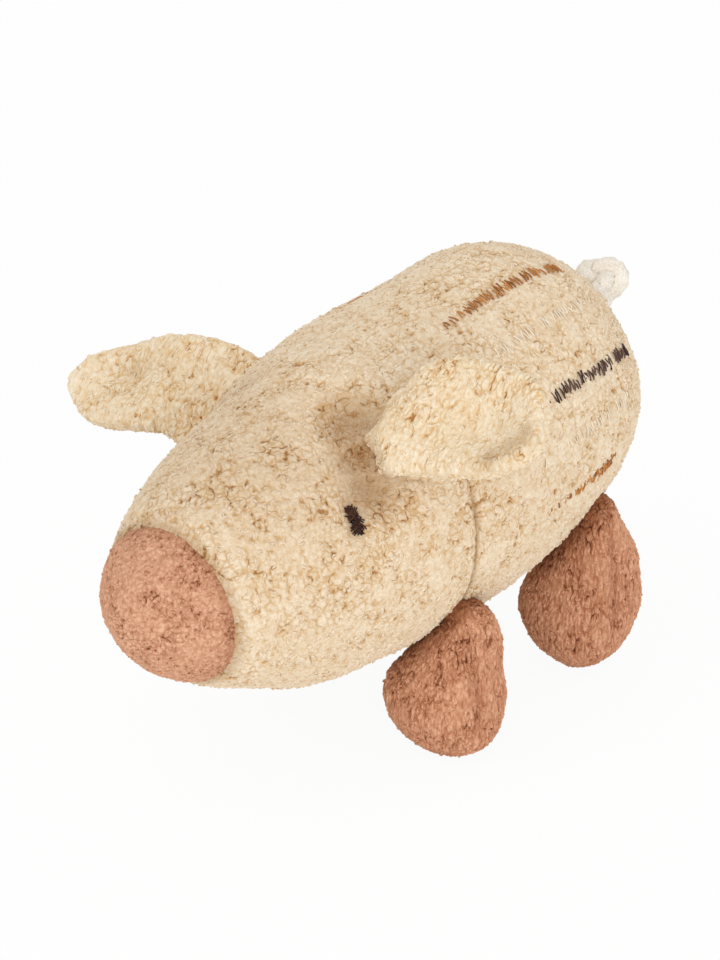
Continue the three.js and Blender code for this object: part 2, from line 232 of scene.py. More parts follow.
def mixed(tree, share, first, second, blend="MIX"):
    """Two colours mixed. A plain colour is three numbers."""
    colours = [c if isinstance(c, Wire) else (*c, 1) for c in (first, second)]
    values = {0: share, 6: colours[0], 7: colours[1]}
    return tree.add("ShaderNodeMix", {"data_type": "RGBA", "blend_type": blend}, values, out=2)


def linear(r, g, b):
    """A colour as it shows on a screen, 0 to 255, in the scene's linear values."""
    def channel(v):
        v /= 255
        return v / 12.92 if v <= 0.04045 else ((v + 0.055) / 1.055) ** 2.4
    return channel(r), channel(g), channel(b)


# %% [markdown]
# ## The pile's pattern
#
# Terry is a pile of tiny yarn loops that clump into flat tufts. Thin winding gaps run between them, and
# they are crinkled in some places and smooth in others, as washing and handling leave them. A Voronoi
# texture, bent by noise, gives the outlines of tufts. Deeper strokes lie where a smooth noise passes its
# middle value. Broad noise opens and shuts both. Finer cells are the curls on every tuft. The same sum is
# used twice: as geometry, where it raises the skin, and in the material, where it colours more finely.

# %% Tufts, gaps and curls
crinkle_size = 9 * mm  # how wide the crinkled and the smooth places are
outline_strength = 0.55  # of the tufts' outlines, where the deeper strokes have 1


def fluff(tree, place, tuft, curl, grain, gap_width):
    """The gaps between tufts and the tops of curls at a place on the skin, each from 0 to 1."""
    combed = place * grain
    winding = bent(tree, combed, tuft * 0.6, tuft * 0.7)
    crinkled = ease(tree, noise(tree, place, crinkle_size), 0.4, 0.62)
    edge = cells(tree, winding, tuft, "DISTANCE_TO_EDGE")
    valley = (1 - ease(tree, edge, 0.0, gap_width * 2)) * (crinkled * 0.7 + 0.3)
    gap = valley * outline_strength
    for size, width, depth in ((tuft * 1.3, gap_width, 1.0), (tuft * 0.7, gap_width * 1.1, 0.5)):
        fold = calc(tree, "ABSOLUTE", noise(tree, winding, size, detail=1) - 0.5)
        is_open = ease(tree, noise(tree, combed, size * 0.6, detail=1), 0.44, 0.6)
        stroke = (1 - ease(tree, fold, 0.0, width)) * is_open * (crinkled * 0.5 + 0.5) * depth
        gap = calc(tree, "MAXIMUM", gap, stroke)
    curly = bent(tree, combed, curl * 0.9, curl * 0.9)
    top = 1 - ease(tree, cells(tree, curly, curl), 0.1, 0.85)
    return gap, top


beige_pile = dict(tuft=3.1 * mm, curl=1.35 * mm, grain=(1.0, 1.0, 1.0))
ear_pile = dict(tuft=3.3 * mm, curl=1.5 * mm, grain=(1.3, 1.1, 0.6))
cap_pile = dict(tuft=2.0 * mm, curl=1.2 * mm, grain=(1.0, 1.0, 1.0))
leg_pile = dict(tuft=2.4 * mm, curl=1.15 * mm, grain=(1.4, 1.4, 0.5))
skin_gap_width = 0.13  # in the geometry
colour_gap_width = 0.065  # in the material


# %% [markdown]
# ## Terry, thread and cord as materials
#
# Light gets lost between the loops, so the gaps show as thin warm lines, and the tufts are pale. The
# material finds its own place on the flat cloth in the attribute "rest", stored before the pile rose.
# A colour ramp turns depth into colour. Broad, faint patches break it up, as rubbing and dye do, and a
# fine bump gives the single fibres. Sheen is the soft glow of fibres that are seen edge on.

# %% A new material
def new_material(name):
    made = bpy.data.materials.new(name)
    made.use_nodes = True
    made.node_tree.nodes.clear()
    return made, Tree(made.node_tree)


def attribute(tree, name, out="Fac"):
    return tree.add("ShaderNodeAttribute", {"attribute_name": name}, None, out)


def cloth_shader(tree, colour, roughness, height, bump, sheen, sheen_colour):
    """What every cloth ends in. bump is the strength and the distance of its height."""
    values = {"Strength": bump[0], "Distance": bump[1], "Height": height}
    normal = tree.add("ShaderNodeBump", None, values)
    shader = tree.add("ShaderNodeBsdfPrincipled", None, {
        "Base Color": colour, "Roughness": roughness, "Normal": normal, "Sheen Weight": sheen,
        "Sheen Roughness": 0.5, "Sheen Tint": (*sheen_colour, 1), "Specular IOR Level": 0.12})
    tree.add("ShaderNodeOutputMaterial", None, {"Surface": shader})


# %% Terry material
painted_shade_tint = (0.44, 0.31, 0.19)  # painted shade: what is left of the light where shade is painted on the pile
broad_patch, small_patch = 11 * mm, 4 * mm


def terry(name, colours, pile, fibre_size, gap_depth, curl_depth):
    """Terry whose four colours go from the bottom of a gap to the tip of a curl."""
    made, tree = new_material(name)
    deep, low, high, tip = (linear(*c) for c in colours)
    rest = attribute(tree, "rest", "Vector")
    loop = attribute(tree, "loop")
    shade = attribute(tree, "deep")
    gap, top = fluff(tree, rest, gap_width=colour_gap_width, **pile)
    fibres = noise(tree, rest, fibre_size, detail=3, roughness=0.65)
    patches = noise(tree, rest, broad_patch, detail=3) * 0.5 + noise(tree, rest + 1.7, small_patch) * 0.5
    skin = 0.72 - gap * gap_depth + (top - 0.5) * curl_depth
    level = skin * (1 - loop) + attribute(tree, "pile") * loop
    # Painted shade: where it is stored on the skin, the level drops and the colour is multiplied by a warm
    # brown.
    level = level + (fibres - 0.5) * 0.5 + (patches - 0.5) * 0.55 - shade * 0.12
    colour = ramp(tree, level, (0.05, deep), (0.32, low), (0.66, high), (0.97, tip))
    colour = mixed(tree, shade * 0.9, colour, painted_shade_tint, "MULTIPLY")
    height = fibres * 0.5 + top * 0.2 - gap * 0.6
    cloth_shader(tree, colour, 0.98 - fibres * 0.08, height, (0.55, 0.3 * mm), 0.55, tip)
    return made


beige_colours = ((166, 116, 66), (212, 176, 128), (231, 210, 180), (247, 234, 214))
pale_colours = ((176, 122, 62), (220, 184, 134), (233, 213, 181), (246, 234, 214))
cap_colours = ((112, 58, 32), (180, 124, 92), (210, 158, 127), (236, 190, 158))
leg_colours = ((98, 48, 26), (168, 108, 76), (202, 146, 113), (238, 188, 156))
beige_terry = terry("Beige terry", beige_colours, beige_pile, 0.4 * mm, 0.62, 0.16)
pale_terry = terry("Pale terry", pale_colours, ear_pile, 0.45 * mm, 0.66, 0.2)
cap_terry = terry("Brown cap terry", cap_colours, cap_pile, 0.3 * mm, 0.6, 0.3)
leg_terry = terry("Brown leg terry", leg_colours, leg_pile, 0.3 * mm, 0.62, 0.26)
print("terry:", [m.name for m in (beige_terry, pale_terry, cap_terry, leg_terry)])

# %% [markdown]
# Embroidery thread is smooth and tightly twisted, so it shines a little along its length. Each stitch gets
# its own shade, stored on the mesh, because light catches every one differently. The twist is a fine wave.

# %% Thread material
thread_twist = 0.3 * mm


def thread(name, dark, light, sheen=0.15):
    made, tree = new_material(name)
    place = tree.add("ShaderNodeTexCoord", out="Object")
    strands = noise(tree, place, thread_twist)
    level = attribute(tree, "shade") * 0.75 + strands * 0.35 - 0.05
    colour = ramp(tree, level, (0.1, linear(*dark)), (0.9, linear(*light)))
    cloth_shader(tree, colour, 0.72 - strands * 0.2, strands, (0.5, 0.1 * mm), sheen, linear(*light))
    return made


threads = {
    "caramel": thread("Caramel thread", (146, 86, 36), (212, 152, 92)),
    "cream": thread("Cream thread", (224, 205, 178), (246, 236, 218)),
    "dark": thread("Dark thread", (46, 28, 24), (116, 90, 80)),
}
eye_thread = thread("Eye thread", (14, 6, 4), (92, 60, 46), sheen=0.02)
print("threads:", [m.name for m in (*threads.values(), eye_thread)])

# %% [markdown]
# The tail is a cord of cotton jersey, and the filling is loose white fibre. Both are pale and dull, and
# differ in their grain: small knitted bumps on the one, long soft streaks in the other.

# %% Cord and fibre materials
def plain_cloth(name, dark, light, grain):
    made, tree = new_material(name)
    place = tree.add("ShaderNodeTexCoord", out="Object")
    bumps = noise(tree, place, grain, detail=3)
    level = bumps * 0.7 + noise(tree, place, grain * 12) * 0.3
    colour = ramp(tree, level, (0.3, linear(*dark)), (0.6, linear(*light)))
    cloth_shader(tree, colour, 0.97 - bumps * 0.1, bumps, (0.6, grain / 3), 0.3, linear(*light))
    return made


cotton_cord = plain_cloth("Cotton cord", (222, 208, 188), (248, 243, 234), 0.5 * mm)
fibre = plain_cloth("Fibre", (226, 224, 218), (246, 245, 241), 1.4 * mm)
print("cord and fibre:", cotton_cord.name, fibre.name)

# %% [markdown]
# ## Skins for the stuffed forms
#
# A stuffed form is one closed skin pulled round several plain solids. A voxel remesh welds the solids into
# one skin, and a second, coarser one gives it even squares. The cloth simulation then blows it up from
# inside, as stuffing does: the skin starts a little slack, its seams are pinned, and no point may move far.

# %% Meshes as arrays
def points_of(mesh):
    flat = np.empty(len(mesh.vertices) * 3, np.float32)
    mesh.vertices.foreach_get("co", flat)
    return flat.reshape(-1, 3).astype(float)


def normals_of(mesh):
    flat = np.empty(len(mesh.vertices) * 3, np.float32)
    mesh.vertex_normals.foreach_get("vector", flat)
    return flat.reshape(-1, 3).astype(float)


def move_points(mesh, points):
    mesh.vertices.foreach_set("co", np.asarray(points, np.float32).ravel())
    mesh.update()


def store(mesh, name, values):
    made = mesh.attributes.new(name, "FLOAT", "POINT")
    made.data.foreach_set("value", np.asarray(values, np.float32))


# %% Slopes, falls and pulls on arrays
def soft_step(values, low, high):
    """A smooth rise from 0 to 1 while the values go from low to high."""
    share = np.clip((values - low) / (high - low), 0, 1)
    return share * share * (3 - 2 * share)


def bell(apart, width):
    """1 at a place, and a smooth fall to nearly 0 at about twice the width from it."""
    return np.exp(-(apart / width) ** 2)


def pulled(points, pulls):
    """Points moved as a sculptor's grab brush does. A pull is a centre, a radius and a move, all in mm."""
    for centre, radius, move in pulls:
        apart = np.linalg.norm(points - np.array(centre) * mm, axis=1)
        points = points + bell(apart, radius * mm)[:, None] * np.array(move) * mm
    return points


def warped(points, anchors, reach):
    """Points moved so that every anchor, in mm, goes exactly its own way and the rest follow smoothly."""
    places, moves = (np.array(part) * mm for part in zip(*anchors))

    def kernel(spots):
        apart = np.linalg.norm(spots[:, None] - places[None], axis=2)
        return bell(apart, reach)

    return points + kernel(points) @ np.linalg.solve(kernel(places), moves)


# %% Pieces from meshes
def new_piece(name, mesh):
    piece = bpy.data.objects.new(name, mesh)
    scene.collection.objects.link(piece)
    return piece


def settle(piece):
    """The piece's modifiers made real."""
    seen = piece.evaluated_get(bpy.context.evaluated_depsgraph_get())
    mesh = bpy.data.meshes.new_from_object(seen)
    piece.modifiers.clear()
    piece.data = mesh
    return piece


def remesh(piece, size):
    modifier = piece.modifiers.new("Even squares", "REMESH")
    modifier.mode = "VOXEL"
    modifier.voxel_size = size
    return settle(piece)


def subdivide(piece, levels):
    modifier = piece.modifiers.new("Smooth", "SUBSURF")
    modifier.levels = levels
    modifier.render_levels = levels
    settle(piece)


# %% One skin round several solids
def mesh_from(work, name):
    mesh = bpy.data.meshes.new(name)
    work.to_mesh(mesh)
    work.free()
    return mesh


def welded(name, nodes, weld, square):
    """One closed skin round several CAD nodes, in squares of an even size."""
    work = bmesh.new()
    for node in nodes:
        work.from_mesh(frame["nodes"][node].data)
    bmesh.ops.remove_doubles(work, verts=work.verts, dist=mm / 100)
    piece = remesh(new_piece(name, mesh_from(work, name)), weld)
    return remesh(piece, square)


# %% Stuffing a skin
def stuff(piece, hold, slack, reach, pressure=4, frames=20):
    """Blows a skin up by cloth simulation. hold is 1 where a seam holds a point, and 0 where it is free."""
    start = points_of(piece.data) - normals_of(piece.data) * slack * (1 - hold[:, None])
    move_points(piece.data, start)
    group = piece.vertex_groups.new(name="seams")
    for index in np.flatnonzero(hold > 0.5):
        group.add([int(index)], float(hold[index]), "REPLACE")
    cloth = piece.modifiers.new("Stuffing", "CLOTH")
    cloth.settings.use_pressure = True
    cloth.settings.uniform_pressure_force = pressure
    cloth.settings.vertex_group_mass = "seams"
    cloth.settings.effector_weights.gravity = 0
    cloth.point_cache.frame_start, cloth.point_cache.frame_end = 1, frames
    for moment in range(1, frames + 1):
        scene.frame_set(moment)
    seen = piece.evaluated_get(bpy.context.evaluated_depsgraph_get())
    moved = points_of(seen.data) - start
    length = np.linalg.norm(moved, axis=1, keepdims=True)
    moved *= np.minimum(1, reach / np.maximum(length, 1e-9)) * (1 - hold[:, None])
    piece.modifiers.clear()
    piece.vertex_groups.clear()
    scene.frame_set(1)
    move_points(piece.data, start + moved)
    print(f"{piece.name}: stuffed, largest free move {length.max() / mm:.1f} mm, kept to {reach / mm:.1f}")


# %% [markdown]
# ## The body
#
# The snout cap, the head cover and the back cover are sewn end to end round one filling. They could be
# stuffed one by one, but then they wouldn't meet. So one skin is stuffed for all three, and it is then cut
# along the two ring seams. Each cover's edge turns in like a real seam allowance, which rounds the valley
# between them. The rump is a little fuller and the shoulders a little leaner than the plain solids, as
# stuffing by hand leaves them.

# %% Where the ring seams are
def between(front, back):
    """The place along the body halfway between one cover's rear edge and the next one's front edge."""
    return (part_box(front)[1].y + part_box(back)[0].y) / 2


cap_seam = between("snout_cap", "head_cover") + 2.5 * mm  # the cap is pulled a little further on
neck_seam = between("head_cover", "back_cover")
print("ring seams at y, mm:", round(cap_seam / mm, 1), round(neck_seam / mm, 1))

# %% The body's stuffed skin
body_square = 4.5 * mm
seam_grip = 2.6 * mm  # how near a ring seam the skin is held
seam_draw = 1.2 * mm  # how far the seam draws it in
body_pulls = [  # a centre, a radius and a move, mm
    ((0, 48, 117), 30, (-0.6, 0.8, 3.2)),  # the rump's top
    ((42, 66, 78), 24, (1.4, 0.7, 0.3)),  # the rump's side
    ((30, 76, 98), 12, (-0.4, -0.6, -0.4)),  # the rump's corner
    ((-26, -8, 104), 15, (-0.8, 0, 0.9)),  # the far side of the neck
    ((-8, 8, 117), 22, (0.5, 0, -2.8)),  # the shoulders
    ((-24, 32, 112), 13, (1.0, -1.0, -2.2)),  # the far side of the back
    ((5, -60, 30), 30, (0, 0, 1.2)),  # under the jaw
    ((30, -52, 36), 13, (0.4, -0.4, -1.4)),  # the jowl
    ((22, -77, 40), 12, (-0.3, 0.3, 0.7)),  # the chin
    ((-15, -91, 71), 13, (-1.1, -1.0, 0.1)),  # the snout's far side
    ((1, -103, 58), 13, (0.5, 1.0, 0.7)),  # the snout's tip
]
skin = welded("body_skin", ["snout_cap", "head_cover", "back_cover", "body_filling"], 1.5 * mm, body_square)
points = pulled(points_of(skin.data), body_pulls)


def ring_seams(points):
    """How far each point is from the cap's seam and from the neck's, and how firm the neck's is there."""
    from_cap, from_neck = (abs(points[:, 1] - place) for place in (cap_seam, neck_seam))
    firmness = 1 - soft_step(points[:, 2], 75 * mm, 100 * mm) * 0.85  # the pile closes over it on the back
    return from_cap, from_neck, firmness


from_cap, from_neck, firmness = ring_seams(points)
grip = np.maximum(bell(from_cap, seam_grip), bell(from_neck, seam_grip) * firmness)
move_points(skin.data, points - normals_of(skin.data) * (grip * seam_draw)[:, None])
stuff(skin, grip, slack=0.8 * mm, reach=1.8 * mm)


# %% A search tree for laying things on the skin
def skin_tree(*pieces):
    vertices, faces = [], []
    for piece in pieces:
        base = len(vertices)
        vertices += [v.co.copy() for v in piece.data.vertices]
        faces += [[base + i for i in polygon.vertices] for polygon in piece.data.polygons]
    return BVHTree.FromPolygons(vertices, faces)


def laid(points, tree):
    """Points laid on a skin, with the skin's outward directions."""
    found = [tree.find_nearest(Vector(point)) for point in points]
    return np.array([hit[0] for hit in found]), np.array([hit[1] for hit in found])


def distance_to(points, line):
    """How far each point is from the nearest point of a line."""
    best = np.full(len(points), 1.0)
    for spot in line:
        np.minimum(best, np.linalg.norm(points - spot, axis=1), out=best)
    return best


def joint_of(body):
    joint = next(j for j in frame["joints"] if j["child"] == body)
    return np.array(joint["pos_m"]), np.array(joint["axis"])


# %% [markdown]
# The ear is sewn into the head, and its seam pulls a hollow into the head in front of the ear's root. A
# simulation of the thread could make it, but a plain push along the normals is easier to steer. The hollow
# is drawn in before the skin is cut, so that a seam that runs through it still meets.

# %% Hollows before the ears
body_tree = skin_tree(skin)
hollow_places = ((21.4, -31.8, 106.9), (28.8, -35.1, 100.2), (35.2, -38.1, 94.5))  # on the left, mm
hollow_lines = [laid(np.array(hollow_places) * mm * (sign, 1, 1), body_tree)[0] for sign in (1, -1)]
hollow_depth = 5 * mm
hollow_width = 9 * mm
hollow_shares = (1, 0.3)  # the right one is shallow, because that ear hangs


def hollow_share(points, width):
    """1 in the middle of a full hollow, and 0 away from the ears."""
    share = np.zeros(len(points))
    for line, strength in zip(hollow_lines, hollow_shares):
        share = np.maximum(share, bell(distance_to(points, line), width) * strength)
    return share


subdivide(skin, 1)
points = points_of(skin.data)
sink = hollow_share(points, hollow_width) * hollow_depth
move_points(skin.data, points - normals_of(skin.data) * sink[:, None])
body_tree = skin_tree(skin)
print("hollows at, mm:", [(line[1] / mm).round(1).tolist() for line in hollow_lines])

# %% Turning a cut edge in
allowance = 3 * mm


def turn_in(work, rim, middle, allowance, shift=Vector()):
    """Turns an open edge in towards the middle, as a seam allowance is."""
    for inset in (0.3, 1.0):
        made = bmesh.ops.extrude_edge_only(work, edges=rim)["geom"]
        for vertex in (v for v in made if isinstance(v, bmesh.types.BMVert)):
            vertex.co += ((middle - vertex.co).normalized() + shift) * allowance * inset
        rim = [edge for edge in made if isinstance(edge, bmesh.types.BMEdge)]


# %% Cutting the skin into covers
def cover(name, start, end):
    """The part of the body's skin between two places along it, with its edges turned in."""
    work = bmesh.new()
    work.from_mesh(skin.data)
    for place, side in ((start, -1), (end, 1)):
        if place is None:
            continue
        geometry = [*work.verts, *work.edges, *work.faces]
        bmesh.ops.bisect_plane(
            work, geom=geometry, plane_co=(0, place, 0), plane_no=(0, side, 0), clear_outer=True)
        bmesh.ops.remove_doubles(work, verts=work.verts, dist=mm / 4)
        open_edges = [edge for edge in work.edges if edge.is_boundary]
        rim = [edge for edge in open_edges if abs(edge.verts[0].co.y - place) < mm / 10]
        middle = sum((v.co for e in rim for v in e.verts), Vector()) / (2 * len(rim))
        turn_in(work, rim, middle, allowance, Vector((0, -side / 6, 0)))
    bmesh.ops.recalc_face_normals(work, faces=work.faces)
    return new_piece(name, mesh_from(work, name))


covers = {
    "snout_cap": cover("snout_cap_terry", None, cap_seam),
    "head_cover": cover("head_cover_terry", cap_seam, neck_seam),
    "back_cover": cover("back_cover_terry", neck_seam, None),
}
for piece in covers.values():
    subdivide(piece, 2)
    print(piece.name, len(piece.data.polygons), "faces")

# %% [markdown]
# ## Where the needle went
#
# The embroidery presses the pile down, so its lines are needed before the pile grows. Each stripe's plain
# solid gives a line along its middle, and each eye's a line down its longer side. The lines are laid on
# the skin with the nearest point of a search tree.

# %% The stripes' lines
def stripe_line(node, steps=40):
    """The line along the middle of a stripe's solid, from its front end to its rear end."""
    points = points_of(frame["nodes"][node].data)
    low, high = points[:, 1].min(), points[:, 1].max()
    window = (high - low) / 9
    places = np.linspace(low, high, steps)
    line = np.array([points[abs(points[:, 1] - place) < window].mean(0) for place in places])
    line[:, 1] = places
    return line


stripe_strays = {  # mm: sideways all along on the right side, and rearwards and up at the rear end
    "caramel_upper": (-9, -3.0, 0), "cream_upper": (0, -3.0, 0), "dark_middle": (0, -1.0, -3.0),
}


def stripe_shift(side, kind, steps=40):
    """How far the needle strayed from the planned line."""
    sideways, rearwards, upwards = stripe_strays.get(kind, (0, 0, 0))
    ways = np.linspace(0, 1, steps)[:, None] * np.array([0, rearwards, upwards]) * mm
    ways[:, 0] += sideways * mm * (side == "right")
    return ways


# %% The eyes' lines
def eye_line(node, longer=1.3, steps=20):
    """The line up the longer side of an eye's solid, from its bottom to its top."""
    points = points_of(frame["nodes"][node].data)
    low, high = points[:, 2].min(), points[:, 2].max()
    top = points[points[:, 2] > high - mm].mean(0)
    bottom = points[points[:, 2] < low + mm].mean(0)
    middle, half = (top + bottom) / 2, (top - bottom) / 2 * longer
    return np.array([middle + half * share for share in np.linspace(-1, 1, steps)])


def eye_lean(side, steps=20):
    """How far the needle strayed from the planned line: up and rearwards, and most so at the top."""
    out = 1 if side == "left" else -1
    way = np.array([0.9 * out, 0.8, 0]) * mm
    return np.linspace(-1, 1, steps)[:, None] * way + np.array([0.6 * out, 0.55, 0.9]) * mm


# %% Lines laid on the skin
stripe_kinds = ("caramel_upper", "cream_upper", "dark_middle", "cream_lower", "caramel_lower")
stripes = {}
for side in sides:
    for kind in stripe_kinds:
        node = f"stripe_{side}_{kind}"
        stripes[node] = laid(stripe_line(node) + stripe_shift(side, kind), body_tree)
eyes = {f"eye_{side}": laid(eye_line(f"eye_{side}") + eye_lean(side), body_tree) for side in sides}
print(len(stripes), "stripes and", len(eyes), "eyes laid on the skin")


# %% Pressed places of the body's pile, and its painted shade
brow_place = np.array([9, -55, 92]) * mm  # the middle of the brow, where shade is painted on the head's top
brow_width = 30 * mm
row_press = (1.6 * mm, 3.2 * mm)  # how far from a stripe the pile is fully pressed, and free again
eye_press = (2.4 * mm, 4.4 * mm)


def mark_body(piece):
    """Stores where the pile is pressed down by embroidery or a seam, and where shade is painted on it."""
    points = points_of(piece.data)
    from_cap, from_neck, firmness = ring_seams(points)
    pressed = bell(from_cap, 1.1 * mm) * 0.6 + bell(from_neck, mm) * 0.7 * firmness
    for line, _ in stripes.values():
        pressed = np.maximum(pressed, 0.4 - soft_step(distance_to(points, line), *row_press) * 0.4)
    for line, _ in eyes.values():
        pressed = np.maximum(pressed, 1 - soft_step(distance_to(points, line), *eye_press))
    # Painted shade: along the ring seams, in the hollows before the ears, and on the brow.
    neck = bell(from_neck, 0.9 * mm) * 0.8 * firmness
    cap = bell(from_cap, 2.2 * mm) * 0.5
    brow = bell(distance_to(points, [brow_place]), brow_width) * 0.3
    deep = np.maximum.reduce([hollow_share(points, hollow_width), neck, cap, brow])
    store(piece.data, "pressed", pressed)
    store(piece.data, "deep", deep)


for piece in covers.values():
    mark_body(piece)

# %% [markdown]
# ## Pile
#
# The pile could be hair, but its loops are short and thick, and an export keeps only meshes. So the skin
# itself rises in tufts by the pattern above, and small arched loops of yarn are set on it at random. A
# Geometry Nodes tree does both, with the sizes as its inputs, so that one tree serves every cloth.

# %% Parts of geometry trees
def new_tree(name, sockets):
    """A geometry tree with named inputs, and its inputs as wires by name."""
    data = bpy.data.node_groups.new(name, "GeometryNodeTree")
    data.interface.new_socket("Geometry", in_out="INPUT", socket_type="NodeSocketGeometry")
    data.interface.new_socket("Geometry", in_out="OUTPUT", socket_type="NodeSocketGeometry")
    for label, kind in sockets.items():
        data.interface.new_socket(label, in_out="INPUT", socket_type=f"NodeSocket{kind}")
    tree = Tree(data)
    labels = ("Geometry", *sockets)
    return tree, dict(zip(labels, tree.add("NodeGroupInput", out=labels)))


def end_tree(tree, geometry, finish):
    whole = tree.add("GeometryNodeRealizeInstances", None, {"Geometry": geometry})
    dressed = tree.add("GeometryNodeSetMaterial", None, {"Geometry": whole, "Material": finish})
    tree.add("NodeGroupOutput", None, {0: dressed})


def stored(tree, geometry, name, value, kind="FLOAT", domain="POINT"):
    values = {"Geometry": geometry, "Name": name, "Value": value}
    return tree.add("GeometryNodeStoreNamedAttribute", {"data_type": kind, "domain": domain}, values)


def read(tree, name, kind="FLOAT"):
    return tree.add("GeometryNodeInputNamedAttribute", {"data_type": kind}, {"Name": name})


# %% Random numbers, turns and tubes
def any_between(tree, low, high, seed):
    """A random number for each element."""
    values = {2: low, 3: high, "Seed": seed}
    return tree.add("FunctionNodeRandomValue", {"data_type": "FLOAT"}, values, out=1)


def turn_of(tree, x, y, z):
    angles = tree.add("ShaderNodeCombineXYZ", None, {0: x, 1: y, 2: z})
    return tree.add("FunctionNodeEulerToRotation", None, {0: angles})


def turned(tree, rotation, further):
    values = {"Rotation": rotation, "Rotate By": further}
    return tree.add("FunctionNodeRotateRotation", {"rotation_space": "LOCAL"}, values)


def swept(tree, curve, thickness, corners):
    """A smooth tube of yarn along a curve."""
    values = {"Resolution": corners, "Radius": thickness / 2}
    ring = tree.add("GeometryNodeCurvePrimitiveCircle", {"mode": "RADIUS"}, values)
    values = {"Curve": curve, "Profile Curve": ring, "Fill Caps": True}
    tube = tree.add("GeometryNodeCurveToMesh", None, values)
    return tree.add("GeometryNodeSetShadeSmooth", None, {"Geometry": tube})


# %% One loop of yarn
loop_sink = 0.35 * mm  # how deep a loop's feet stand below the skin


def yarn_loop(tree, radius, thickness):
    """A low arch of yarn whose feet stand below the skin. Its pile attribute rises from foot to top, which
    paints shade at its feet.
    """
    arc = tree.add("GeometryNodeCurveArc", {"mode": "RADIUS"}, {
        "Resolution": 6, "Radius": radius, "Start Angle": 0.1, "Sweep Angle": math.pi - 0.2})
    along = tree.add("GeometryNodeSplineParameter")
    rise = calc(tree, "SINE", along * math.pi)
    arc = stored(tree, arc, "pile", 0.42 + rise * 0.42)
    return tree.add("GeometryNodeTransform", None, {
        "Geometry": swept(tree, arc, thickness, 5), "Translation": (0, 0, -loop_sink),
        "Rotation": (math.pi / 2, 0, 0)})


# %% The pile's tree
def pile_tree():
    tree, given = new_tree("Terry pile", {
        "Tuft Size": "Float", "Tuft Height": "Float", "Curl Size": "Float", "Curl Height": "Float",
        "Grain": "Vector", "Loop Spacing": "Float", "Loop Radius": "Float", "Loop Thickness": "Float",
        "Seed": "Int", "Finish": "Material"})
    place = tree.add("GeometryNodeInputPosition")
    gap, top = fluff(tree, place, given["Tuft Size"], given["Curl Size"], given["Grain"], skin_gap_width)
    standing = 1 - read(tree, "pressed") * 0.85
    rise = ((1 - gap) * given["Tuft Height"] + top * given["Curl Height"]) * standing
    skin = stored(tree, given["Geometry"], "rest", place, "FLOAT_VECTOR")
    skin = stored(tree, skin, "loop", 0.0)
    offset = tree.add("GeometryNodeInputNormal") * rise
    raised = tree.add("GeometryNodeSetPosition", None, {"Geometry": skin, "Offset": offset})
    density = standing * (1 - gap) / (given["Loop Spacing"] * given["Loop Spacing"])
    points, stance = tree.add("GeometryNodeDistributePointsOnFaces", None, {
        "Mesh": raised, "Density": density, "Seed": given["Seed"]}, out=("Points", "Rotation"))
    tilt = turn_of(tree, any_between(tree, -1.2, 1.2, 3), any_between(tree, -0.4, 0.4, 4),
                   any_between(tree, 0.0, math.tau, 5))
    loops = tree.add("GeometryNodeInstanceOnPoints", None, {
        "Points": points, "Instance": yarn_loop(tree, given["Loop Radius"], given["Loop Thickness"]),
        "Rotation": turned(tree, stance, tilt), "Scale": any_between(tree, 0.6, 1.2, 6)})
    loops = stored(tree, loops, "loop", 1.0, domain="INSTANCE")
    both = tree.add("GeometryNodeJoinGeometry", None, {0: [raised, loops]})
    end_tree(tree, both, given["Finish"])
    return tree.data


terry_pile = pile_tree()
print("the pile's tree:", len(terry_pile.nodes), "nodes")


# %% Growing a piece's pile
def grown(piece, tree, **inputs):
    """Runs a geometry tree on a piece and makes the result real."""
    modifier = piece.modifiers.new(tree.name, "NODES")
    modifier.node_group = tree
    names = {item.name: item.identifier for item in tree.interface.items_tree if item.in_out == "INPUT"}
    for label, value in inputs.items():
        modifier[names[label.replace("_", " ")]] = value
    settle(piece)
    print(piece.name, len(piece.data.polygons), "faces")


def grow_pile(piece, pile, heights, loops, seed, finish):
    """The terry of one piece: heights of a tuft and a curl, and the loops' spacing, radius and yarn."""
    grown(
        piece, terry_pile, Tuft_Size=pile["tuft"], Curl_Size=pile["curl"], Grain=pile["grain"],
        Tuft_Height=heights[0], Curl_Height=heights[1], Loop_Spacing=loops[0], Loop_Radius=loops[1],
        Loop_Thickness=loops[2], Seed=seed, Finish=finish)


def dress(piece, body, nodes):
    """Attaches a finished piece to its body and hides the CAD nodes that it stands for."""
    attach(piece, body)
    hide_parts(*nodes)


# %% Pile on the body
long_pile = ((0.9 * mm, 0.3 * mm), (2.4 * mm, 0.6 * mm, 0.5 * mm))
short_pile = ((0.8 * mm, 0.3 * mm), (2.0 * mm, 0.45 * mm, 0.45 * mm))
grow_pile(covers["snout_cap"], cap_pile, *short_pile, 11, cap_terry)
grow_pile(covers["head_cover"], beige_pile, *long_pile, 12, beige_terry)
grow_pile(covers["back_cover"], beige_pile, *long_pile, 13, beige_terry)
for node, piece in covers.items():
    dress(piece, "body", [node])
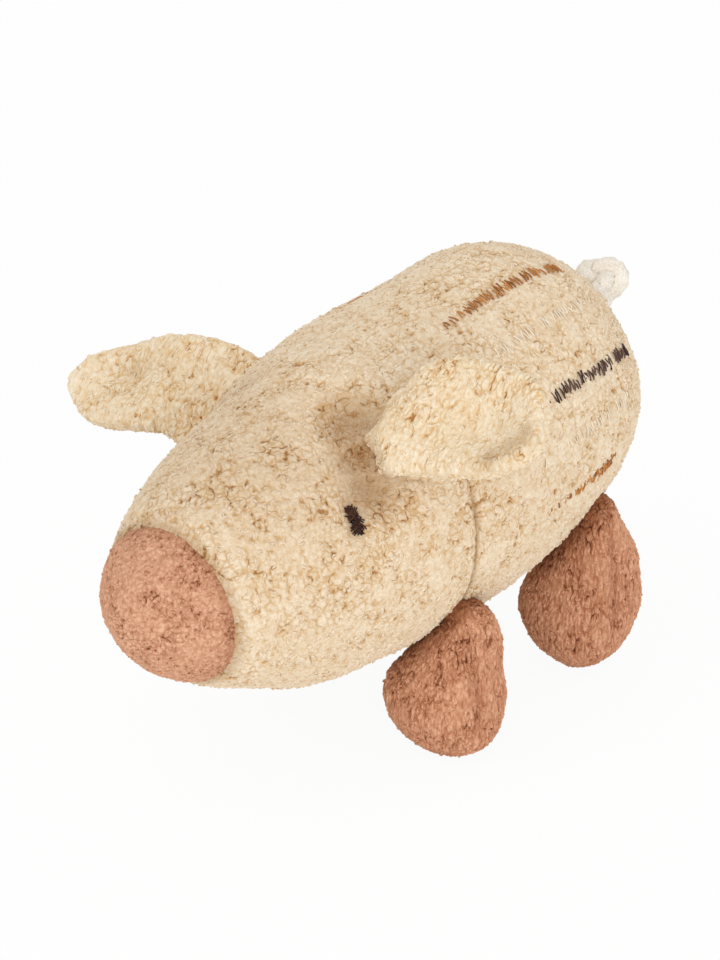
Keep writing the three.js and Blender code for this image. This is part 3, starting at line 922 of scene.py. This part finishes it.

# %% [markdown]
# ## Legs
#
# A leg is two panels of fine brown terry, sewn down both sides and turned out. Its neck is a seam that runs
# up the body's side. The stuffing makes a drop of it: taut from the foot to the neck's tip, without a
# waist. So the leg's skin is the convex hull of its plain solid and of a small bulge at the neck, which is
# then stuffed. The panels' seam is drawn in along the leg, and shade is painted on the pile where it meets
# the body.

# %% The legs' own shapes
panel_seam_depth = 1.2 * mm
panel_seam_width = 1.8 * mm
panel_seam_place = -3 * mm  # from the leg's middle, rearwards
panel_seam_start = (8 * mm, 18 * mm)  # the heights between which the seam comes up from the foot
leg_shade = (1 * mm, 9 * mm)  # how far from the body a leg's painted shade is darkest, and gone
leg_pulls = {  # on the left side, each a centre, a radius and a move, mm
    "front": [((50, -4, 36), 9, (1.6, 1.4, 0)), ((27, -22, 20), 12, (-1.2, -1.1, 0)),
              ((54, -12, 8), 10, (1.8, 0.6, -2.2)), ((48, -16, 2), 9, (0.6, -0.7, 0)),
              ((52, 0, 16), 9, (0.7, 0.6, 0))],
    "rear": [((51, 60, 24), 13, (1.5, 1.3, 0)), ((25, 38, 24), 10, (-1.3, -1.2, 0)),
             ((50, 56, 52), 8, (-2.2, -1.9, -0.3)), ((54, 55, 38), 8, (0.9, 0.8, 0)),
             ((50, 42, 5), 12, (1.4, -1.5, -0.6))],
}
neck_bulges = {  # the shift along the neck's seam, rearwards and down, and the half sizes, mm
    "front": ((6.5, 0.5, 1.0), (8.5, 7.5, 8)), "rear": ((5.0, -0.5, 1.0), (8.5, 8, 8)),
}


print("pulls on the legs:", [len(leg_pulls[end]) for end in ends])


# %% A bulge at a leg's neck
def neck_bulge(end, side):
    """Where an ellipsoid at a leg's neck is, as a matrix for a ball of radius 1."""
    hinge, line = joint_of(f"leg_{end}_{side}")
    shift, half = neck_bulges[end]
    along, rear = Vector(line), Vector((0, 1, 0))
    if along.z < 0:
        along = -along
    down = along.cross(rear)
    if down.z > 0:
        down = -down
    centre = Vector(hinge) + (along * shift[0] + rear * shift[1] + down * shift[2]) * mm
    axes = Matrix([along * half[0] * mm, rear * half[1] * mm, down * half[2] * mm]).transposed()
    return Matrix.Translation(centre) @ axes.to_4x4()


# %% The taut skin of a leg
def drop(name, node, bulge, square):
    """The taut skin round a CAD node and a bulge, in squares of an even size."""
    work = bmesh.new()
    work.from_mesh(frame["nodes"][node].data)
    bmesh.ops.create_icosphere(work, subdivisions=3, radius=1, matrix=bulge)
    hull = bmesh.ops.convex_hull(work, input=work.verts)
    bmesh.ops.delete(work, geom=hull["geom_interior"] + hull["geom_unused"], context="VERTS")
    inner = [face for face in work.faces if face not in set(hull["geom"])]
    bmesh.ops.delete(work, geom=inner, context="FACES")
    return remesh(new_piece(name, mesh_from(work, name)), square)


# %% Legs
leg_square = 3.2 * mm


def leg(end, side):
    limb = f"leg_{end}_{side}"
    node = f"{limb}_cover"
    piece = drop(f"{limb}_terry", node, neck_bulge(end, side), leg_square)
    points = points_of(piece.data)
    sole = 1 - soft_step(points[:, 2], 0.5 * mm, 3 * mm)
    stuff(piece, sole, slack=1.0 * mm, reach=1.6 * mm)
    subdivide(piece, 3)
    sign = 1 if side == "left" else -1
    pulls = [((sign * x, y, z), size, (sign * a, b, c)) for (x, y, z), size, (a, b, c) in leg_pulls[end]]
    move_points(piece.data, pulled(points_of(piece.data), pulls))
    low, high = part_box(node)
    points, normals = points_of(piece.data), normals_of(piece.data)
    seam = bell(points[:, 1] - (low.y + high.y) / 2 - panel_seam_place, panel_seam_width)
    seam *= np.sqrt(1 - normals[:, 1] ** 2) * soft_step(points[:, 2], *panel_seam_start)
    points = points - normals * (seam * panel_seam_depth)[:, None]
    points[:, 2] = np.maximum(points[:, 2], 0)
    move_points(piece.data, points)
    on_body, _ = laid(points, body_tree)
    # Painted shade: darkest where the leg comes near the body, and a little along the panels' seam.
    shaded = 1 - soft_step(np.linalg.norm(points - on_body, axis=1), *leg_shade)
    store(piece.data, "pressed", 1 - soft_step(points[:, 2], 0, 1.5 * mm))
    store(piece.data, "deep", np.maximum(shaded, seam * 0.3))
    seed = 20 + 2 * ends.index(end) + sides.index(side)
    grow_pile(piece, leg_pile, *short_pile, seed, leg_terry)
    dress(piece, limb, [node])


for end in ends:
    for side in sides:
        leg(end, side)

# %% [markdown]
# ## Ears
#
# An ear is a leaf of two layers of long-looped terry with a thin pad between them. One skin is stuffed for
# both, and then split along the leaf's edge into the front layer and the back layer, whose edges turn in.
# Pulling and sewing has given each ear its own shape: the left one stands up from a puffy root and curls
# at its tip, and the right one hangs down a little and is cupped. A few anchors round the leaf say where
# its places have gone, and the rest of the leaf follows. The left one's root is then drawn down to the
# head again, where its seam holds it.

# %% The ears' own shapes
ear_anchors = {  # a place on the leaf and its move, mm
    "left": [
        ((80, -18, 122), (0.5, -0.2, 1.2)), ((79, -27, 114), (2.0, -0.4, 1.2)),
        ((74, -32, 110), (0.9, -0.5, 1.3)), ((65, -37, 107), (-0.4, 0.8, 1.5)),
        ((50, -36, 100), (1.0, 1.7, 1.0)), ((33, -37, 100), (0.6, 0.3, 1.8)),
        ((28, -31, 108), (-0.6, -1.1, 1.0)), ((30, -21, 115), (1.4, 2.2, 1.1)),
        ((37, -17, 119), (-1.7, 0.9, 3.3)), ((45, -13, 123), (-1.1, 1.6, 3.4)),
        ((54, -10, 126), (-0.4, 0.6, 1.2)), ((70, -12, 129), (-0.8, 0.1, 1.0)),
        ((36, -25, 106), (0.6, -2.7, 0.8)), ((50, -21, 113), (-0.6, 0.6, -0.5)),
        ((69, -22, 118), (-1.6, 2.6, -4.8)),
    ],
    "right": [
        ((-32, -20, 107), (2.0, 4.0, -5.1)), ((-45, -19, 110), (1.1, -2.3, -4.2)),
        ((-59, -21, 107), (0.9, -3.1, -5.1)), ((-74, -21, 99), (1.4, -3.0, -5.4)),
        ((-79, -26, 94), (-1.1, -4.2, -4.1)), ((-81, -34, 87), (-1.2, -5.0, -5.0)),
        ((-73, -41, 80), (2.8, -0.3, -3.6)), ((-52, -42, 83), (1.2, -0.3, -1.8)),
        ((-40, -40, 87), (-0.9, -1.1, -8.3)), ((-32, -37, 92), (-0.1, 3.2, -13.7)),
        ((-27, -31, 98), (-3.9, 4.1, -10.3)), ((-68, -27, 89), (-1.1, -0.9, -6.0)),
        ((-54, -25, 94), (-2.9, 1.1, -7.2)), ((-39, -26, 99), (-2.5, 2.8, -5.4)),
    ],
}
ear_folds = {  # the middle of each ear's fold, where shade is painted on the pile, mm
    "left": [(71, -31.2, 114), (75.2, -27.7, 117.2), (78, -25.1, 120.8)],
    "right": [(-63.5, -25.5, 87.5), (-57.5, -23.5, 89), (-50.5, -23, 91.5)],
}
fold_widths = {"left": 3.6 * mm, "right": 5 * mm}
anchor_reach = 13 * mm  # how far an anchor's pull is felt
print("anchors on the ears:", [len(ear_anchors[side]) for side in sides])

# %% Sewing an ear's root down
ear_seam_half = 13 * mm  # half the length of the seam that holds an ear
ear_seam_reach = (2.2 * mm, 6.5 * mm)  # how far from the seam the ear is fully drawn down, and free again
ear_seam_depth = 1.5 * mm  # how far into the head its edge goes


def sewn_down(points, body):
    """An ear's points, with the edge at its seam drawn down to the head and a little into it."""
    root, axis = joint_of(body)
    along = np.clip((points - root) @ axis, -ear_seam_half, ear_seam_half)
    apart = np.linalg.norm(points - root - along[:, None] * axis, axis=1)
    hold = 1 - soft_step(apart, *ear_seam_reach)
    drawn = points.copy()
    for index in np.flatnonzero(hold > 0):
        place, up, _, _ = body_tree.find_nearest(Vector(points[index]))
        under = np.array(place) - np.array(up) * ear_seam_depth
        drawn[index] += hold[index] * (under - points[index])
    return drawn


# %% Splitting an ear's skin into its two layers
ear_allowance = 1.5 * mm


def layer_of(whole, name, mine, other):
    """The faces of the ear's skin that are nearer to one layer's solid, with their edge turned in."""
    def is_others(face):
        place = face.calc_center_median()
        return mine.find_nearest(place)[3] > other.find_nearest(place)[3]

    work = bmesh.new()
    work.from_mesh(whole.data)
    middle = sum((vertex.co for vertex in work.verts), Vector()) / len(work.verts)
    bmesh.ops.delete(work, geom=[face for face in work.faces if is_others(face)], context="FACES")
    turn_in(work, [edge for edge in work.edges if edge.is_boundary], middle, ear_allowance)
    bmesh.ops.recalc_face_normals(work, faces=work.faces)
    return new_piece(name, mesh_from(work, name))


def apart_from(layer, other):
    """How far each point of one layer is from the other layer."""
    tree = skin_tree(other)
    return np.array([tree.find_nearest(vertex.co)[3] for vertex in layer.data.vertices])


# %% Ears
ear_square = 2 * mm
ear_hold = (8 * mm, 15 * mm)  # how far from the root the stuffing can't move an ear, and can
ear_edge_width = 1.6 * mm  # where the rim's seam presses the pile
ear_fold_shade = 0.5


def ear(side):
    limb = f"ear_{side}"
    nodes = [f"{limb}_front", f"{limb}_back"]
    whole = welded(f"{limb}_skin", nodes, 0.8 * mm, ear_square)
    root, _ = joint_of(limb)
    hold = 1 - soft_step(np.linalg.norm(points_of(whole.data) - root, axis=1), *ear_hold)
    stuff(whole, hold, slack=0.3 * mm, reach=2.2 * mm)
    subdivide(whole, 2)
    trees = [skin_tree(frame["nodes"][node]) for node in nodes]
    layers = [layer_of(whole, f"{node}_terry", trees[i], trees[1 - i]) for i, node in enumerate(nodes)]
    rim = np.array([v.co for v in layers[0].data.vertices])
    rim = rim[apart_from(*layers) < 0.1 * mm]
    bpy.data.objects.remove(whole)
    for i, (layer, node) in enumerate(zip(layers, nodes)):
        points = points_of(layer.data)
        edge = distance_to(points, rim[::3])
        points = warped(points, ear_anchors[side], anchor_reach)
        if side == "left":  # its shape has lifted its root, and the right one's lies on the head already
            points = sewn_down(points, limb)
        move_points(layer.data, points)
        store(layer.data, "pressed", 0.8 - soft_step(edge, 0, ear_edge_width) * 0.8)
        # Painted shade in the fold of the front layer.
        fold = bell(distance_to(points, np.array(ear_folds[side]) * mm), fold_widths[side])
        store(layer.data, "deep", fold * ear_fold_shade * (1 - i))
        grow_pile(layer, ear_pile, *long_pile, 30 + 2 * sides.index(side) + i, pale_terry)
        dress(layer, limb, [node])


for side in sides:
    ear(side)

# %% [markdown]
# ## Embroidery
#
# A stripe is a zigzag row: stitch after stitch across the line, leaning one way and then the other. Terry
# swallows thread, so the row sinks and breaks up, and tufts poke through it. An eye is the same row, but
# denser, with stitches that grow and shrink to fill an oval. One tree makes both. It walks along the line in
# even steps, leaves out a few, and sets one arched thread on each of the others, a little turned and shifted.

# %% Geometry nodes for rows of stitches
def stitch_tree():
    tree, given = new_tree("Stitch row", {
        "Pitch": "Float", "Thread": "Float", "Crown": "Float", "Slant": "Float", "Ragged": "Float",
        "Shift": "Float", "Sink": "Float", "Missing": "Float", "Seed": "Int", "Finish": "Material"})
    line = tree.add("GeometryNodeMeshToCurve", None, {"Mesh": given["Geometry"]})
    values = {"Curve": line, "Length": given["Pitch"]}
    steps = tree.add("GeometryNodeResampleCurve", {"mode": "LENGTH"}, values)
    steps = stored(tree, steps, "along", tree.add("GeometryNodeInputTangent"), "FLOAT_VECTOR")
    points = tree.add("GeometryNodeCurveToPoints", {"mode": "EVALUATED"}, {"Curve": steps})
    place = tree.add("GeometryNodeInputPosition")
    seed = given["Seed"]
    up = read(tree, "up", "FLOAT_VECTOR")
    across = tree.add("ShaderNodeVectorMath", {"operation": "CROSS_PRODUCT"}, {
        0: up, 1: read(tree, "along", "FLOAT_VECTOR")})
    wave = noise(tree, place, 3 * mm, detail=1) - 0.5
    thin = noise(tree, place + 0.5, 2.2 * mm, detail=1) - 0.5
    offset = across * (any_between(tree, -0.5, 0.5, seed) * given["Shift"]) + up * (wave * given["Sink"])
    points = tree.add("GeometryNodeSetPosition", None, {"Geometry": points, "Offset": offset})
    bezier = tree.add("GeometryNodeCurveQuadraticBezier", None, {
        "Resolution": 6, "Start": (0, -0.5, 0), "End": (0, 0.5, 0),
        "Middle": tree.add("ShaderNodeCombineXYZ", None, {2: given["Crown"]})})
    stitch = swept(tree, bezier, given["Thread"], 5)
    odd = calc(tree, "MODULO", tree.add("GeometryNodeInputIndex"), 2)
    stance = tree.add("FunctionNodeAxesToRotation", {"primary_axis": "Z", "secondary_axis": "X"}, {
        "Primary Axis": up, "Secondary Axis": read(tree, "along", "FLOAT_VECTOR")})
    lean = (odd * 2 - 1) * given["Slant"] + any_between(tree, -0.16, 0.16, seed + 1)
    stance = turned(tree, stance, turn_of(tree, any_between(tree, -0.08, 0.08, seed + 2), 0.0, lean))
    width = read(tree, "width") * (1 - any_between(tree, 0.0, 1.0, seed + 3) * given["Ragged"])
    chance = any_between(tree, 0.0, 1.0, seed + 4) + thin * 2.2
    kept = calc(tree, "GREATER_THAN", chance, given["Missing"])
    rows = tree.add("GeometryNodeInstanceOnPoints", None, {
        "Points": points, "Selection": kept, "Instance": stitch, "Rotation": stance,
        "Scale": tree.add("ShaderNodeCombineXYZ", None, {0: 1.0, 1: width, 2: 1.0})})
    rows = stored(tree, rows, "shade", any_between(tree, 0.0, 1.0, seed + 5), domain="INSTANCE")
    end_tree(tree, rows, given["Finish"])
    return tree.data


stitch_row = stitch_tree()
print("the rows' tree:", len(stitch_row.nodes), "nodes")


# %% A line for a tree to follow
def line_mesh(name, places, ups, widths):
    """A line of edges with the skin's outward direction and the stitch width on every point."""
    mesh = bpy.data.meshes.new(name)
    mesh.from_pydata([tuple(p) for p in places], [(i, i + 1) for i in range(len(places) - 1)], [])
    up = mesh.attributes.new("up", "FLOAT_VECTOR", "POINT")
    up.data.foreach_set("vector", np.asarray(ups, np.float32).ravel())
    store(mesh, "width", widths)
    return new_piece(name, mesh)


# %% Stripes
stripe_width = 4.6 * mm
row_looks = {  # lift over the skin in mm, share of the width, share of missing stitches
    "caramel_upper": (0.8, 0.9, 0.12), "cream_upper": (0.6, 0.8, 0.3), "dark_middle": (0.8, 0.9, 0.1),
    "cream_lower": (0.5, 0.75, 0.45), "caramel_lower": (0.65, 0.65, 0.2),
}
for index, (node, (places, ups)) in enumerate(stripes.items()):
    kind = node.split("_", 2)[2]
    colour = kind.split("_")[0]
    lift, share, missing = row_looks[kind]
    lift -= 0.5 * (node == "stripe_right_caramel_upper")  # the pile has nearly covered this one
    widths = np.full(len(places), stripe_width * share)
    row = line_mesh(f"{node}_stitches", places + ups * lift * mm, ups, widths)
    grown(row, stitch_row, Pitch=0.8 * mm, Thread=0.48 * mm, Crown=0.5 * mm, Slant=0.2, Ragged=0.55,
          Shift=1.4 * mm, Sink=1.8 * mm, Missing=missing, Seed=50 + 10 * index, Finish=threads[colour])
    dress(row, "body", [node])

# %% Eyes
eye_width = 6.0 * mm
eye_lift = 0.7 * mm
for index, (node, (places, ups)) in enumerate(eyes.items()):
    widths = eye_width * np.sqrt(1 - np.linspace(-0.96, 0.96, len(places)) ** 2)
    row = line_mesh(f"{node}_stitches", places + ups * eye_lift, ups, widths)
    grown(row, stitch_row, Pitch=0.2 * mm, Thread=0.42 * mm, Crown=1.0 * mm, Slant=0.65, Ragged=0.35,
          Shift=1.4 * mm, Sink=0.5 * mm, Missing=-2.0, Seed=200 + 10 * index, Finish=eye_thread)
    dress(row, "body", [node])

# %% [markdown]
# ## Tail
#
# The tail is a soft cord pulled through one overhand knot. Its route could be a list of points, but an
# overhand knot is a trefoil left open at one lobe, which is a short formula: one end runs into the body and
# the other sticks out. The strands press on each other, so the cord is drawn fuller than its plain solid.
# A tree sweeps the cord's round section along the route, and noise makes it lumpy.

# %% Tail
tail_root, _ = joint_of("tail")
knot_size = 15.5 * mm
cord_size = 4.8 * mm
knot_inner = 2.1 * mm  # how near the trefoil's line comes to its middle
knot_outer = (knot_size - 3.3 * mm) / 2  # how far it goes from it
knot_rise = 2.05 * mm  # how far it weaves up and down
knot_opening = 0.34  # the angle left open at each end, in radians
stub_step = 2.8 * mm  # half the length of the end that sticks out


def knot_point(angle):
    """A place on the trefoil, which winds twice round its middle and comes near it three times."""
    reach = knot_inner + (knot_outer - knot_inner) * (1 + math.cos(3 * angle)) / 2
    flat = (reach * math.cos(2 * angle), reach * math.sin(2 * angle))
    return np.array([*flat, knot_rise * math.sin(3 * angle)])


knot = [knot_point(a) for a in np.linspace(knot_opening, 2 * math.pi - knot_opening, 60)]
entry = np.array([knot_size / 2 + 1.5 * mm, knot[-1][1] / 2, 0])
stub = knot[0] + np.array([1, 1, 0]) * stub_step
stub_end = knot[0] + np.array([1, 2, 0]) * stub_step
inner_end = entry + np.array([2.5 * mm, 0, 0])
route = np.array([stub_end, stub, *knot, entry, inner_end])
_, rump_out = laid([tail_root], body_tree)
inwards = -Vector(rump_out[0])
inwards.x = 0
inwards.normalize()
sideways = Vector((1, 0, 0))
turn = np.array([inwards, sideways, inwards.cross(sideways)]).T
tail_shift = np.array([-0.1, -0.8, -3.0]) * mm  # where the photograph has it, from the hinge
route = (route - entry) @ turn.T + tail_root + tail_shift
print("tail box, mm:", (route.min(0) / mm).round(1), (route.max(0) / mm).round(1))


# %% The cord along its route
def cord_tree():
    tree, given = new_tree("Cord", {"Size": "Float", "Lumps": "Float", "Finish": "Material"})
    line = tree.add("GeometryNodeMeshToCurve", None, {"Mesh": given["Geometry"]})
    line = tree.add("GeometryNodeCurveSplineType", {"spline_type": "CATMULL_ROM"}, {"Curve": line})
    line = tree.add("GeometryNodeResampleCurve", {"mode": "LENGTH"}, {"Curve": line, "Length": 0.4 * mm})
    cord = swept(tree, line, given["Size"], 30)
    lumps = noise(tree, tree.add("GeometryNodeInputPosition"), 1.8 * mm, detail=3) - 0.5
    offset = tree.add("GeometryNodeInputNormal") * (lumps * given["Lumps"])
    cord = tree.add("GeometryNodeSetPosition", None, {"Geometry": cord, "Offset": offset})
    end_tree(tree, cord, given["Finish"])
    return tree.data


tail = line_mesh("tail_cord", route, np.zeros((len(route), 3)), np.zeros(len(route)))
grown(tail, cord_tree(), Size=cord_size, Lumps=2.0 * mm, Finish=cotton_cord)
dress(tail, "tail", ["tail_knot"])

# %% [markdown]
# ## Fibre filling
#
# The filling is never seen, but the toy isn't hollow. Loose fibre could be strands, which would weigh down
# the file for nothing. So each filling is its solid with a lumpy, soft surface, a little inside its cover.

# %% Fillings
filling_inset = 1.2 * mm  # how far it lies inside its solid, so that no cover touches it
filling_lump = 0.5 * mm
hollow_spread = 1.2  # the filling gives way a little more than the cover before the ears


def sunk(piece, depths):
    """Moves every point of a piece inwards by its own depth."""
    inwards = normals_of(piece.data) * depths[:, None]
    move_points(piece.data, points_of(piece.data) - inwards)


def filling(node, body, square):
    piece = welded(f"{node}_fibre", [node], square / 2, square)
    subdivide(piece, 1)
    points = points_of(piece.data)
    lumps = np.sin(points @ np.array([900, 400, 300])) * np.sin(points @ np.array([-300, 800, 500]))
    sunk(piece, filling_inset + filling_lump * lumps)
    if node == "body_filling":
        points = points_of(piece.data)
        sunk(piece, hollow_share(points, hollow_width * hollow_spread) * hollow_depth * hollow_spread)
    piece.data.materials.clear()
    piece.data.materials.append(fibre)
    dress(piece, body, [node])


filling("body_filling", "body", 5 * mm)
for end in ends:
    for side in sides:
        filling(f"leg_{end}_{side}_filling", f"leg_{end}_{side}", 3.5 * mm)
bpy.data.objects.remove(skin)  # its covers, and the tree that things were laid on, have taken its place

# %% [markdown]
# ## Floor and light
#
# The photograph was taken on white, in soft light from all round with a little more from the upper left.
# Plain white paint would turn grey in shade. So the floor glows for the most part, and its share of paint
# carries a faint shadow. The world is white where the camera sees it, and a little dimmer as a light.

# %% Floor
def seen_directly(tree):
    """1 for what the camera sees, also by way of a mirror or glass, and 0 for light on the toy."""
    camera_ray, glossy, clear = tree.add("ShaderNodeLightPath", out=(
        "Is Camera Ray", "Is Glossy Ray", "Is Transmission Ray"))
    return calc(tree, "MAXIMUM", calc(tree, "MAXIMUM", camera_ray, glossy), clear)


floor_mesh = bpy.data.meshes.new("floor")
floor_half = 3.0  # half its width, m
corners = [(x * floor_half, y * floor_half, 0) for x, y in ((-1, -1), (1, -1), (1, 1), (-1, 1))]
floor_mesh.from_pydata(corners, [], [(0, 1, 2, 3)])
floor = new_piece("floor", floor_mesh)
floor_finish, tree = new_material("White floor")
paint = tree.add("ShaderNodeBsdfDiffuse", None, {"Color": (0.92, 0.92, 0.92, 1)})
glow = tree.add("ShaderNodeEmission", None, {"Strength": 1.0})
glow_share = 0.94  # the rest is white paint, which takes the toy's shadow
shown = tree.add("ShaderNodeMixShader", None, {0: seen_directly(tree) * glow_share, 1: paint, 2: glow})
tree.add("ShaderNodeOutputMaterial", None, {"Surface": shown})
floor_mesh.materials.append(floor_finish)

# %% World and lamps
studio_level = 0.8  # of the light on the toy, where the camera sees 1
world = bpy.data.worlds.new("White studio")
world.use_nodes = True
world.node_tree.nodes.clear()
scene.world = world
tree = Tree(world.node_tree)
strength = seen_directly(tree) * (1 - studio_level) + studio_level
white = tree.add("ShaderNodeBackground", None, {"Color": (1, 1, 1, 1), "Strength": strength})
tree.add("ShaderNodeOutputWorld", None, {"Surface": white})


def lamp(name, azimuth, elevation, distance, size, power):
    """A square lamp that looks at the body's middle from an angle round the toy."""
    data = bpy.data.lights.new(name, "AREA")
    data.shape = "SQUARE"
    data.size = size
    data.energy = power
    way = direction(math.radians(azimuth), math.radians(elevation))
    light = bpy.data.objects.new(name, data)
    light.location = body_middle + way * distance
    light.rotation_euler = (-way).to_track_quat("-Z", "Y").to_euler()
    scene.collection.objects.link(light)


lamp("Key", azimuth=-10, elevation=50, distance=1.2, size=0.8, power=2.5)
lamp("Fill", azimuth=60, elevation=8, distance=1.2, size=0.8, power=5)

# %% Sizes and the end
scene.view_settings.view_transform = "Standard"
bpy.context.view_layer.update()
faces = sum(len(o.data.loop_triangles) or len(o.data.polygons) for o in scene.objects if o.type == "MESH")
print("faces in all:", faces)
